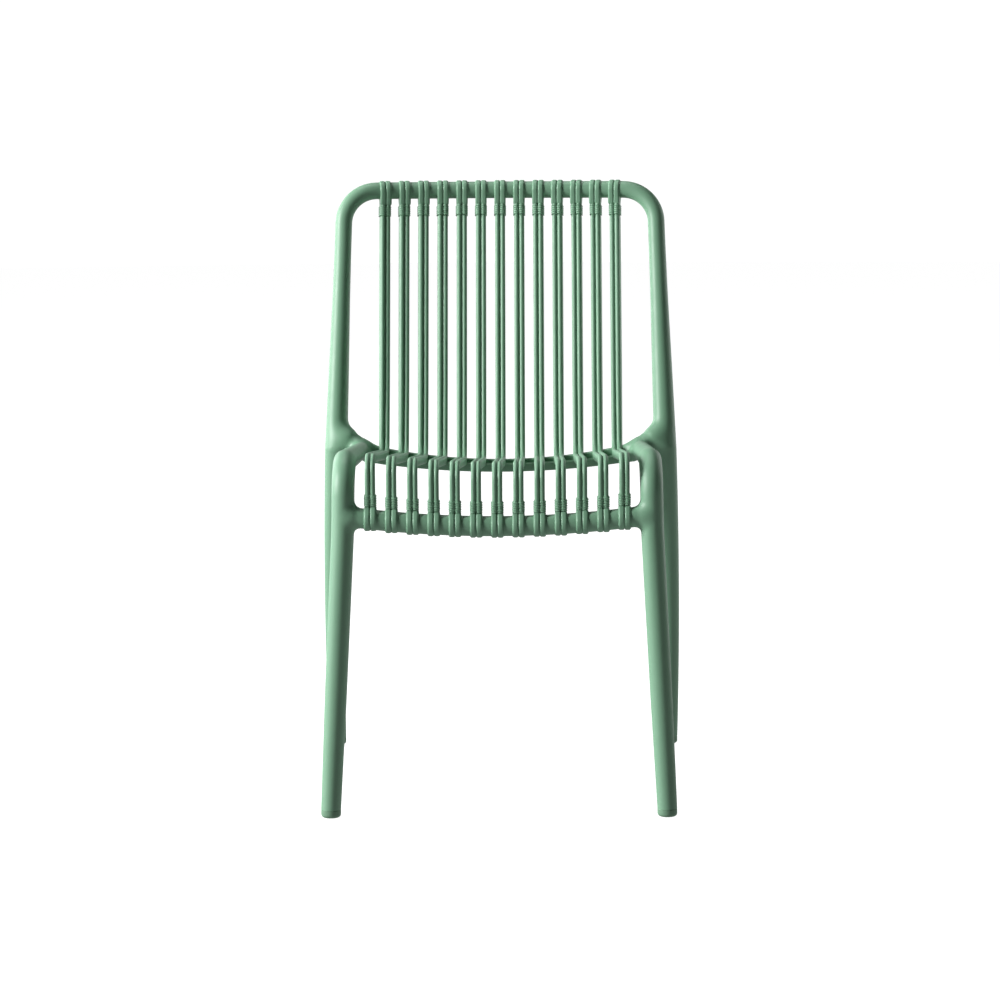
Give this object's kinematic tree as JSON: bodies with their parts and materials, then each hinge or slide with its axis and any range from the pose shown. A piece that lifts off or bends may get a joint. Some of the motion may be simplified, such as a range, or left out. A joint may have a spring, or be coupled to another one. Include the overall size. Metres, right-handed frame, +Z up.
{
  "type": "stacking chair",
  "caption": "Armless stacking chair with a bowed back hoop, splayed legs and doubled cord-like slats that run down the back, over the seat and round the front rail.",
  "frame": {"origin": "on the floor, at the middle of the chair's outer box", "axes": "+Z up, -Y the way the sitter faces, +X to the sitter's left"},
  "size_m": [0.5006, 0.5462, 0.8009],
  "materials": {
    "frame_plastic": "satin",
    "slat_plastic": "satin",
    "glide_plastic": "matte"
  },
  "bodies": {
    "root": {"back_hoop": "frame_plastic", "left_side_frame": "frame_plastic", "right_side_frame": "frame_plastic", "front_rail": "frame_plastic", "rear_rail": "frame_plastic", "slat_01": "slat_plastic", "slat_02": "slat_plastic", "slat_03": "slat_plastic", "slat_04": "slat_plastic", "slat_05": "slat_plastic", "slat_06": "slat_plastic", "slat_07": "slat_plastic", "slat_08": "slat_plastic", "slat_09": "slat_plastic", "slat_10": "slat_plastic", "slat_11": "slat_plastic", "slat_12": "slat_plastic", "slat_13": "slat_plastic", "top_collar_01": "slat_plastic", "top_collar_02": "slat_plastic", "top_collar_03": "slat_plastic", "top_collar_04": "slat_plastic", "top_collar_05": "slat_plastic", "top_collar_06": "slat_plastic", "top_collar_07": "slat_plastic", "top_collar_08": "slat_plastic", "top_collar_09": "slat_plastic", "top_collar_10": "slat_plastic", "top_collar_11": "slat_plastic", "top_collar_12": "slat_plastic", "top_collar_13": "slat_plastic", "front_collar_01": "slat_plastic", "front_collar_02": "slat_plastic", "front_collar_03": "slat_plastic", "front_collar_04": "slat_plastic", "front_collar_05": "slat_plastic", "front_collar_06": "slat_plastic", "front_collar_07": "slat_plastic", "front_collar_08": "slat_plastic", "front_collar_09": "slat_plastic", "front_collar_10": "slat_plastic", "front_collar_11": "slat_plastic", "front_collar_12": "slat_plastic", "front_collar_13": "slat_plastic", "front_left_glide": "glide_plastic", "front_right_glide": "glide_plastic", "rear_left_glide": "glide_plastic", "rear_right_glide": "glide_plastic"}
  },
  "joints": []
}
